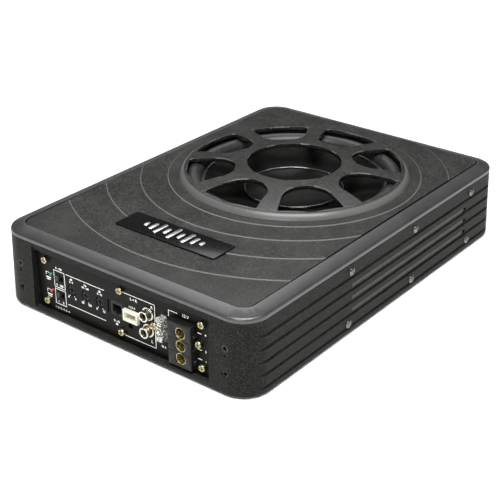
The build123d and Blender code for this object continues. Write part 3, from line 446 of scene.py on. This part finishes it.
SOFTENED = {
    "top_frame": 0.35, "badge_plate": 0.25, "badge_bars": 0.25, "terminal_housing": 0.35,
    "input_socket": 0.25, "bottom_plate": 0.3, "phase_slider": 0.12, "input_slider": 0.12,
    "rca_shells": 0.12, "terminal_cages": 0.15, "panel_screws": 0.12, "remote_jack": 0.2,
}
SMOOTH_ANGLE = math.radians(32)


def carry_over(name):
    """Gives a CAD node its finish, and merged, rounded and smoothly shaded edges."""
    node = NODES[name]
    node.data.materials.clear()
    node.data.materials.append(FINISHES[SLOT_OF[name]])
    for polygon in node.data.polygons:
        polygon.use_smooth = True
    weld = node.modifiers.new("merged", "WELD")
    weld.merge_threshold = 0.002 * MM
    if name in SOFTENED:
        tidy = node.modifiers.new("flat_faces", "DECIMATE")
        tidy.decimate_type = "DISSOLVE"
        tidy.angle_limit = math.radians(0.6)
        rounding = node.modifiers.new("rounded", "BEVEL")
        rounding.width = SOFTENED[name] * MM
        rounding.segments = 2
        rounding.limit_method = "ANGLE"
        rounding.angle_limit = math.radians(40)
        rounding.use_clamp_overlap = True
    split = node.modifiers.new("edges", "EDGE_SPLIT")
    split.split_angle = SMOOTH_ANGLE


for part_name in NODES:
    carry_over(part_name)


# ---------------------------------------------------------------- making new pieces

def new_piece(name, shape, slot, body="enclosure", smooth=SMOOTH_ANGLE, material=None):
    """Turns a bmesh into a piece that rides on a body, at the origin."""
    mesh = bpy.data.meshes.new(name)
    bmesh.ops.recalc_face_normals(shape, faces=shape.faces)
    shape.to_mesh(mesh)
    shape.free()
    mesh.materials.append(material or FINISHES[slot])
    for polygon in mesh.polygons:
        polygon.use_smooth = True
    mesh.set_sharp_from_angle(angle=smooth)
    piece = bpy.data.objects.new(name, mesh)
    bpy.context.scene.collection.objects.link(piece)
    if body:
        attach(piece, body)
    return piece


def closed_loop(shape, points):
    """A closed ring of edges through the points."""
    verts = [shape.verts.new(point) for point in points]
    edges = [shape.edges.new((verts[i - 1], verts[i])) for i in range(len(verts))]
    return verts, edges


def spin_profile(shape, points, centre, steps):
    """Turns an open line of (radius, height) points about an upright axis, in mm."""
    verts = [shape.verts.new((centre[0] + r * MM, centre[1], z * MM)) for r, z in points]
    edges = [shape.edges.new(pair) for pair in zip(verts, verts[1:])]
    bmesh.ops.spin(shape, geom=verts + edges, cent=centre, axis=(0, 0, 1), dvec=(0, 0, 0),
                   angle=2 * math.pi, steps=steps, use_merge=True)
    bmesh.ops.remove_doubles(shape, verts=shape.verts, dist=0.01 * MM)


CENTRE = Vector((0.0, DRIVER_Y * MM, 0.0))


# ---------------------------------------------------------------- grille panel

def dome_z(radius):
    """Height of the grille's dome at a distance from the woofer's axis."""
    return DOME_CREST_Z - DOME_RADIUS + math.sqrt(DOME_RADIUS**2 - radius**2)


def first_crossing(inside, origin, direction, reach):
    """How far a ray runs from an origin before it leaves a region."""
    low, high = 0.0, reach
    for _ in range(40):
        middle = (low + high) / 2
        if inside(origin[0] + direction[0] * middle, origin[1] + direction[1] * middle):
            low = middle
        else:
            high = middle
    return low


PETAL_HALF_ANGLE = math.asin(PETAL_ROUND_RADIUS / PETAL_ROUND_CENTRE)


def in_petal(x, y):
    """Whether a point on the flat layout is inside the petal that points along +X."""
    if math.hypot(x - PETAL_ROUND_CENTRE, y) < PETAL_ROUND_RADIUS:
        return True
    radius, angle = math.hypot(x, y), math.atan2(abs(y), x)
    tangent = math.sqrt(PETAL_ROUND_CENTRE**2 - PETAL_ROUND_RADIUS**2)
    if radius < tangent or radius > PETAL_OUTER_RADIUS or angle > PETAL_HALF_ANGLE:
        return False
    to_side = radius * math.sin(PETAL_HALF_ANGLE - angle)
    to_arc = PETAL_OUTER_RADIUS - radius
    if to_side < PETAL_CORNER and to_arc < PETAL_CORNER:
        return math.hypot(PETAL_CORNER - to_side, PETAL_CORNER - to_arc) < PETAL_CORNER
    return True


SECTOR_HALF_ANGLE = math.pi / PETALS


def in_sector(x, y):
    """Whether a point is inside the eighth of the disc that holds the petal along +X."""
    radius, angle = math.hypot(x, y), math.atan2(abs(y), x)
    return x > 0 and HUB_RADIUS < radius < DOME_EDGE_RADIUS and angle < SECTOR_HALF_ANGLE


def seen_from_middle(radius, angle):
    """Direction from the petal's middle to a point given about the woofer's axis."""
    return math.atan2(radius * math.sin(angle), radius * math.cos(angle) - PETAL_ROUND_CENTRE)


def petal_angles():
    """Ray angles about the petal's middle, with the corners of petal and sector among them."""
    corner = seen_from_middle(PETAL_OUTER_RADIUS, PETAL_HALF_ANGLE)
    beside = math.radians(1.6)
    stops = [0.0, corner - beside, corner, corner + beside,
             seen_from_middle(DOME_EDGE_RADIUS, SECTOR_HALF_ANGLE),
             seen_from_middle(HUB_RADIUS, SECTOR_HALF_ANGLE), math.pi]
    counts = (13, 1, 1, 2, 14, 13)
    angles = []
    for low, high, count in zip(stops, stops[1:], counts):
        angles += [low + (high - low) * k / count for k in range(count)]
    mirrored = [-a for a in angles[:0:-1]]
    return angles + [math.pi] + mirrored


def grille_disc(shape):
    """One sector bridged from its petal to its outline, then turned eight times."""
    middle = (PETAL_ROUND_CENTRE, 0.0)
    loops = []
    for inside in (in_petal, in_sector):
        points = []
        for angle in petal_angles():
            direction = (math.cos(angle), math.sin(angle))
            reach = first_crossing(inside, middle, direction, RAY_REACH)
            points.append(((middle[0] + direction[0] * reach) * MM, direction[1] * reach * MM, 0.0))
        loops.append(closed_loop(shape, points))
    bmesh.ops.bridge_loops(shape, edges=loops[0][1] + loops[1][1])
    rims = [e for e in shape.edges if all(in_outline(v) for v in e.verts)
            or all(on_hub(v) for v in e.verts)]
    lowered = bmesh.ops.extrude_edge_only(shape, edges=rims)["geom"]
    for vert in lowered:
        if isinstance(vert, bmesh.types.BMVert):
            vert.co.z = -LIP_DEPTH * MM
    lips = [e for e in rims if e.is_valid and len(e.link_faces) == 2]
    bmesh.ops.bevel(shape, geom=lips, offset=LIP_ROUND * MM, offset_type="OFFSET", segments=3,
                    affect="EDGES", profile=0.5, material=-1, clamp_overlap=False)
    across = [e for e in shape.edges if runs_across(e)]
    bmesh.ops.subdivide_edges(shape, edges=across, cuts=4, use_grid_fill=True)
    for vert in shape.verts:
        vert.co.z += dome_z(math.hypot(vert.co.x, vert.co.y) / MM) * MM
    everything = list(shape.verts) + list(shape.edges) + list(shape.faces)
    bmesh.ops.spin(shape, geom=everything, cent=(0, 0, 0), axis=(0, 0, 1), dvec=(0, 0, 0),
                   angle=2 * math.pi * (PETALS - 1) / PETALS, steps=PETALS - 1,
                   use_duplicate=True)
    bmesh.ops.remove_doubles(shape, verts=shape.verts, dist=0.02 * MM)
    bmesh.ops.translate(shape, vec=CENTRE, verts=shape.verts)


def in_outline(vert):
    """Whether a vertex lies on the petal's own edge."""
    x, y = vert.co.x / MM, vert.co.y / MM
    away = math.hypot(x - PETAL_ROUND_CENTRE, y)
    step = 0.02
    if away < 1:
        return False
    outward = ((x - PETAL_ROUND_CENTRE) / away * step, y / away * step)
    return in_petal(x - outward[0], y - outward[1]) and not in_petal(x + outward[0], y + outward[1])


def runs_across(edge):
    """Whether an edge of the flat layout runs from the petal towards the sector's outline."""
    first, second = (v.co / MM - Vector((PETAL_ROUND_CENTRE, 0, 0)) for v in edge.verts)
    if max(abs(first.z), abs(second.z)) > 0.001 or (first - second).length < 0.4:
        return False
    return abs(first.normalized().cross(second.normalized()).z) < 0.002


def on_hub(vert):
    """Whether a vertex lies on the rim of the hub's opening."""
    return abs(math.hypot(vert.co.x, vert.co.y) / MM - HUB_RADIUS) < 0.05


def sheet_z(radius):
    """Height of the rippled sheet at a distance from the woofer's axis."""
    height = PANEL_TOP_Z
    for ripple in RIPPLE_RADII:
        share = min(1.0, max(0.0, (ripple + RIPPLE_RUN - radius) / RIPPLE_RUN))
        height += RIPPLE_STEP * share * share * (3 - 2 * share)
    return height


def in_sheet(x, y):
    """Whether a point is on the rounded rectangle of the top panel."""
    over_x = abs(x) - (PANEL_HALF_X - PANEL_CORNER)
    over_y = abs(y + DRIVER_Y) - (PANEL_HALF_Y - PANEL_CORNER)
    if over_x > 0 and over_y > 0:
        return math.hypot(over_x, over_y) < PANEL_CORNER
    return over_x < PANEL_CORNER and over_y < PANEL_CORNER


def sheet_radii():
    """Ring radii, close together across each ripple."""
    run = DOME_FOOT_RADIUS - DOME_EDGE_RADIUS
    radii = [DOME_EDGE_RADIUS + run * share for share in (0.2, 0.4, 0.58, 0.74, 0.87, 0.96, 1.0)]
    radii.append(DOME_FOOT_RADIUS + 0.8)
    for ripple in reversed(RIPPLE_RADII):
        radii += [ripple - 0.6, ripple, ripple + RIPPLE_RUN / 3, ripple + RIPPLE_RUN * 2 / 3,
                  ripple + RIPPLE_RUN, ripple + RIPPLE_RUN + 0.6]
    return radii + [210.0, 240.0]


def shoulder_z(radius):
    """Height of the dome's rounded outer shoulder."""
    foot_z = sheet_z(DOME_FOOT_RADIUS)
    if radius >= DOME_FOOT_RADIUS:
        return sheet_z(radius)
    share = max(0.0, (radius - DOME_EDGE_RADIUS) / (DOME_FOOT_RADIUS - DOME_EDGE_RADIUS))
    return foot_z + (dome_z(DOME_EDGE_RADIUS) - foot_z) * max(0.0, 1 - share**1.5) ** 0.75


def rippled_sheet(shape):
    """Rings turned about the woofer's axis and held inside the panel's outline."""
    reach_cache = {}
    steps = PETALS * (len(petal_angles_outer()) - 1)
    points = [(radius, 0.0) for radius in sheet_radii()]
    spin_profile(shape, points, (0.0, 0.0, 0.0), steps)
    for vert in shape.verts:
        x, y = vert.co.x / MM, vert.co.y / MM
        radius = math.hypot(x, y)
        direction = (x / radius, y / radius)
        key = round(math.atan2(y, x), 4)
        if key not in reach_cache:
            reach_cache[key] = first_crossing(in_sheet, (0.0, 0.0), direction, SHEET_REACH)
        radius = min(radius, reach_cache[key])
        vert.co = Vector((direction[0] * radius * MM, direction[1] * radius * MM + CENTRE.y,
                          shoulder_z(radius) * MM))
    bmesh.ops.remove_doubles(shape, verts=shape.verts, dist=0.02 * MM)


def petal_angles_outer():
    """Points of the sector outline that lie on the dome's outer edge."""
    found = []
    for angle in petal_angles():
        direction = (math.cos(angle), math.sin(angle))
        reach = first_crossing(in_sector, (PETAL_ROUND_CENTRE, 0.0), direction, RAY_REACH)
        x, y = PETAL_ROUND_CENTRE + direction[0] * reach, direction[1] * reach
        if abs(math.hypot(x, y) - DOME_EDGE_RADIUS) < 0.05:
            found.append(math.atan2(y, x))
    return sorted(found)


def at_dome_edge(vert):
    """Whether a vertex lies where the disc and the sheet meet."""
    radius = math.hypot(vert.co.x, vert.co.y - CENTRE.y) / MM
    return DOME_EDGE_RADIUS - 0.1 < radius < DOME_EDGE_RADIUS + 1.2


def make_grille_panel():
    """The disc and the sheet joined into one shell that stands for the CAD panel."""
    disc = bmesh.new()
    grille_disc(disc)
    sheet = bmesh.new()
    rippled_sheet(sheet)
    rim = [e for e in sheet.edges if e.is_boundary
           and math.hypot(e.verts[0].co.x, e.verts[0].co.y - CENTRE.y) > 100 * MM]
    side = bmesh.ops.extrude_edge_only(sheet, edges=rim)["geom"]
    for vert in side:
        if isinstance(vert, bmesh.types.BMVert):
            vert.co.z = PANEL_LOW_Z * MM
    corner = [e for e in rim if e.is_valid and len(e.link_faces) == 2]
    bmesh.ops.bevel(sheet, geom=corner, offset=SHEET_EDGE_ROUND * MM, offset_type="OFFSET",
                    segments=2, affect="EDGES", profile=0.5, material=-1, clamp_overlap=True)
    whole = bpy.data.meshes.new("sheet")
    sheet.to_mesh(whole)
    sheet.free()
    disc.from_mesh(whole)
    bpy.data.meshes.remove(whole)
    gap = [e for e in disc.edges if e.is_boundary and all(at_dome_edge(v) for v in e.verts)]
    bmesh.ops.bridge_loops(disc, edges=gap)
    piece = new_piece("grille_shell", disc, "grille_panel", smooth=math.radians(60))
    wall = piece.modifiers.new("wall", "SOLIDIFY")
    wall.thickness = GRILLE_WALL * MM
    wall.offset = -1.0
    even = piece.modifiers.new("even_shading", "WEIGHTED_NORMAL")
    even.keep_sharp = True
    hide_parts("grille_panel")


make_grille_panel()


# ---------------------------------------------------------------- soft woofer parts

def set_blend(piece):
    """Bakes a ring's transform into its mesh, at the origin."""
    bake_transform(piece)


def make_surround():
    """The half-roll rubber edge, with its flat lips."""
    lip_z = FLANGE_TOP_Z + SURROUND_LIFT
    points = [(SURROUND_INNER, lip_z), (76.2, lip_z)]
    turns = 16
    for k in range(turns + 1):
        angle = math.pi * (1 - k / turns)
        points.append((ROLL_RADIUS + ROLL_SIZE * math.cos(angle),
                       lip_z + (ROLL_SIZE - 0.2) * math.sin(angle)))
    points += [(90.6, lip_z), (SURROUND_OUTER, lip_z)]
    shape = bmesh.new()
    spin_profile(shape, points, tuple(CENTRE), SURROUND_STEPS)
    piece = new_piece("surround_roll", shape, "surround", body=None)
    wall = piece.modifiers.new("wall", "SOLIDIFY")
    wall.thickness = SURROUND_WALL * MM
    wall.offset = -1.0
    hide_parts("surround")
    set_blend(piece)


def make_spider():
    """The corrugated cloth that centres the coil."""
    points = [(SPIDER_INNER, SPIDER_Z), (SPIDER_START, SPIDER_Z)]
    steps = 12
    for k in range(1, SPIDER_WAVES * steps + 1):
        height = SPIDER_WAVE_HEIGHT * math.sin(2 * math.pi * k / steps)
        points.append((SPIDER_START + SPIDER_PITCH * k / steps, SPIDER_Z + height))
    points += [(56.0, SPIDER_Z), (SPIDER_OUTER, SPIDER_Z)]
    shape = bmesh.new()
    spin_profile(shape, points, tuple(CENTRE), SPIDER_STEPS)
    piece = new_piece("spider_cloth", shape, "spider", body=None)
    wall = piece.modifiers.new("wall", "SOLIDIFY")
    wall.thickness = SPIDER_WALL * MM
    wall.offset = 1.0
    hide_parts("spider")
    set_blend(piece)


def make_leads():
    """Two limp braids that hang from the chassis to the cone."""
    shape = bmesh.new()
    face_along_y = Matrix.Rotation(math.pi / 2, 4, "X")
    for x in LEAD_XS:
        path = []
        for k in range(LEAD_STEPS + 1):
            share = k / LEAD_STEPS
            y = LEAD_START_Y + (LEAD_END_Y - LEAD_START_Y) * share
            z = LEAD_START_Z - LEAD_DROP * share - 4 * LEAD_SAG * share * (1 - share)
            path.append(Vector((x, y, z)) * MM)
        place = Matrix.Translation(path[0]) @ face_along_y
        made = bmesh.ops.create_circle(shape, segments=10, radius=LEAD_RADIUS * MM,
                                       cap_ends=False, matrix=place)
        rim = list({edge for vert in made["verts"] for edge in vert.link_edges})
        for before, after in zip(path, path[1:]):
            grown = bmesh.ops.extrude_edge_only(shape, edges=rim)["geom"]
            verts = [item for item in grown if isinstance(item, bmesh.types.BMVert)]
            rim = [item for item in grown if isinstance(item, bmesh.types.BMEdge)]
            bmesh.ops.translate(shape, vec=after - before, verts=verts)
    bmesh.ops.holes_fill(shape, edges=[edge for edge in shape.edges if edge.is_boundary])
    piece = new_piece("tinsel_braids", shape, "copper", body=None)
    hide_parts("tinsel_leads")
    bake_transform(piece)


make_surround()
make_spider()
make_leads()


# ---------------------------------------------------------------- panel marks

def bar(shape, x, z, width, height, y=MARK_Y):
    """A flat printed rectangle facing -Y."""
    place = Matrix.Translation((x * MM, y * MM, z * MM)) @ Matrix.Rotation(math.pi / 2, 4, "X")
    made = bmesh.ops.create_grid(shape, x_segments=1, y_segments=1, size=0.5)
    bmesh.ops.scale(shape, vec=(width * MM, height * MM, 1), verts=made["verts"])
    bmesh.ops.transform(shape, matrix=place, verts=made["verts"])


def outline_box(shape, low_x, high_x, low_z, high_z, line=MARK_LINE):
    """A printed rectangle drawn as four bars."""
    middle_x, middle_z = (low_x + high_x) / 2, (low_z + high_z) / 2
    for z in (low_z, high_z):
        bar(shape, middle_x, z, high_x - low_x + line, line)
    for x in (low_x, high_x):
        bar(shape, x, middle_z, line, high_z - low_z - line)


def lettering(shape, words, x, z, height, y=MARK_Y):
    """Plain generic characters, centred on a place."""
    curve = bpy.data.curves.new("characters", "FONT")
    curve.body = words
    curve.size = height * TEXT_SIZE_FOR_HEIGHT * MM
    curve.align_x = "CENTER"
    curve.align_y = "CENTER"
    curve.resolution_u = 3
    curve.offset = STROKE * MM
    holder = bpy.data.objects.new("characters", curve)
    mesh = bpy.data.meshes.new_from_object(holder)
    place = Matrix.Translation((x * MM, y * MM, z * MM)) @ Matrix.Rotation(math.pi / 2, 4, "X")
    mesh.transform(place)
    shape.from_mesh(mesh)
    bpy.data.meshes.remove(mesh)
    bpy.data.objects.remove(holder)
    bpy.data.curves.remove(curve)


def make_marks():
    """Printed lines, boxes, numbers and units round the controls."""
    shape = bmesh.new()
    # indicator bars and switch boxes
    for z in (31.0, 16.5):
        bar(shape, -75.2, z + 0.8, 5.2, 0.9)
        bar(shape, -75.2, z - 0.8, 4.2, 0.8)
        bar(shape, -75.6, z + 5.0, 3.6, MARK_LINE)
        bar(shape, -77.6, z + 3.9, MARK_LINE, 2.6)
    for low_z, high_z in SWITCH_BOXES:
        outline_box(shape, *SWITCH_BOX_X, low_z, high_z)
    lettering(shape, "0   180", -63.4, 28.2, 1.9)
    lettering(shape, "1     2", -63.4, 13.9, 1.9)
    lettering(shape, "0 - 180", -63.4, 42.4, 1.7)
    lettering(shape, "1 - 2 - 3 - 4 - 5 - 6", -62.5, 8.3, 1.5)
    # knob row
    for z in (40.2, 14.9):
        bar(shape, -36.0, z, 39.5, MARK_LINE)
    for x, low, high, unit, span in KNOB_MARKS:
        lettering(shape, unit, x, 37.4, 1.7)
        lettering(shape, span, x, 35.2, 1.5)
        lettering(shape, low, x - 3.6, 22.0, 1.8)
        lettering(shape, high, x + 3.6, 22.0, 1.8)
        bar(shape, x - 2.2, 23.8, 0.5, 0.9)
        bar(shape, x + 2.6, 23.8, 0.5, 0.9)
    # remote socket and inputs
    lettering(shape, "0 - 10", -5.0, 18.6, 1.7)
    lettering(shape, "dB", -5.0, 16.2, 1.6)
    bar(shape, 17.5, 45.3, 31.4, MARK_LINE)
    bar(shape, 33.2, 27.6, MARK_LINE, 35.4)
    bar(shape, 17.5, 9.9, 31.4, MARK_LINE)
    lettering(shape, "L + R", 13.0, 42.2, 2.2)
    lettering(shape, "1 2 3 4", 11.0, 35.4, 1.6)
    lettering(shape, "R", 30.4, 42.2, 2.2)
    lettering(shape, "L", 29.6, 13.9, 2.2)
    lettering(shape, "30 A", 40.8, 14.0, 1.6)
    # power block
    bar(shape, 46.4, 43.8, MARK_LINE, 5.2)
    bar(shape, 50.4, 46.3, 8.4, MARK_LINE)
    lettering(shape, "12 V", 62.0, 46.3, 2.4)
    for z, sign in TERMINAL_MARKS:
        bar(shape, 74.4, z, 3.6, MARK_LINE)
        lettering(shape, sign, 79.8, z, 2.2)
    new_piece("panel_marks", shape, "panel", material=MARKS)


make_marks()


# ---------------------------------------------------------------- camera, floor and light

def make_camera():
    """A long lens that looks down at the front right corner."""
    camera = bpy.data.objects.new("camera", bpy.data.cameras.new("camera"))
    camera.data.lens = CAMERA_LENS
    camera.data.sensor_width = CAMERA_SENSOR
    camera.data.clip_start = 0.05
    camera.matrix_world = (
        Matrix.Translation(CAMERA_PLACE)
        @ Matrix.Rotation(math.radians(CAMERA_YAW), 4, "Z")
        @ Matrix.Rotation(math.pi / 2 - math.radians(CAMERA_PITCH), 4, "X")
        @ Matrix.Rotation(math.radians(CAMERA_ROLL), 4, "Z")
    )
    bpy.context.scene.collection.objects.link(camera)
    bpy.context.scene.camera = camera


def make_floor():
    """A wide pale floor."""
    shape = bmesh.new()
    bmesh.ops.create_grid(shape, x_segments=2, y_segments=2, size=FLOOR_HALF)
    mesh = bpy.data.meshes.new("floor")
    shape.to_mesh(mesh)
    shape.free()
    pale = bpy.data.materials.new("pale_floor")
    pale.use_nodes = True
    shader = pale.node_tree.nodes["Principled BSDF"]
    shader.inputs["Base Color"].default_value = (*FLOOR_COLOUR, 1)
    shader.inputs["Roughness"].default_value = 0.9
    shader.inputs["Specular IOR Level"].default_value = 0.1
    mesh.materials.append(pale)
    floor = bpy.data.objects.new("floor", mesh)
    bpy.context.scene.collection.objects.link(floor)


def softbox(name, place, target, width, height, power):
    """A large rectangular lamp aimed at a point."""
    lamp = bpy.data.lights.new(name, "AREA")
    lamp.shape = "RECTANGLE"
    lamp.size = width
    lamp.size_y = height
    lamp.energy = power
    holder = bpy.data.objects.new(name, lamp)
    aim = Vector(target) - Vector(place)
    holder.matrix_world = (Matrix.Translation(place)
                           @ aim.to_track_quat("-Z", "Y").to_matrix().to_4x4())
    bpy.context.scene.collection.objects.link(holder)


def make_light():
    """A dim even sky and four soft lamps."""
    world = bpy.data.worlds.new("studio")
    world.use_nodes = True
    sky = world.node_tree.nodes["Background"]
    sky.inputs["Color"].default_value = (1.0, 1.0, 1.0, 1)
    sky.inputs["Strength"].default_value = SKY_STRENGTH
    bpy.context.scene.world = world
    for name, settings in LAMPS.items():
        softbox(name, *settings)
    bpy.context.scene.view_settings.view_transform = "Standard"


make_camera()
make_floor()
make_light()
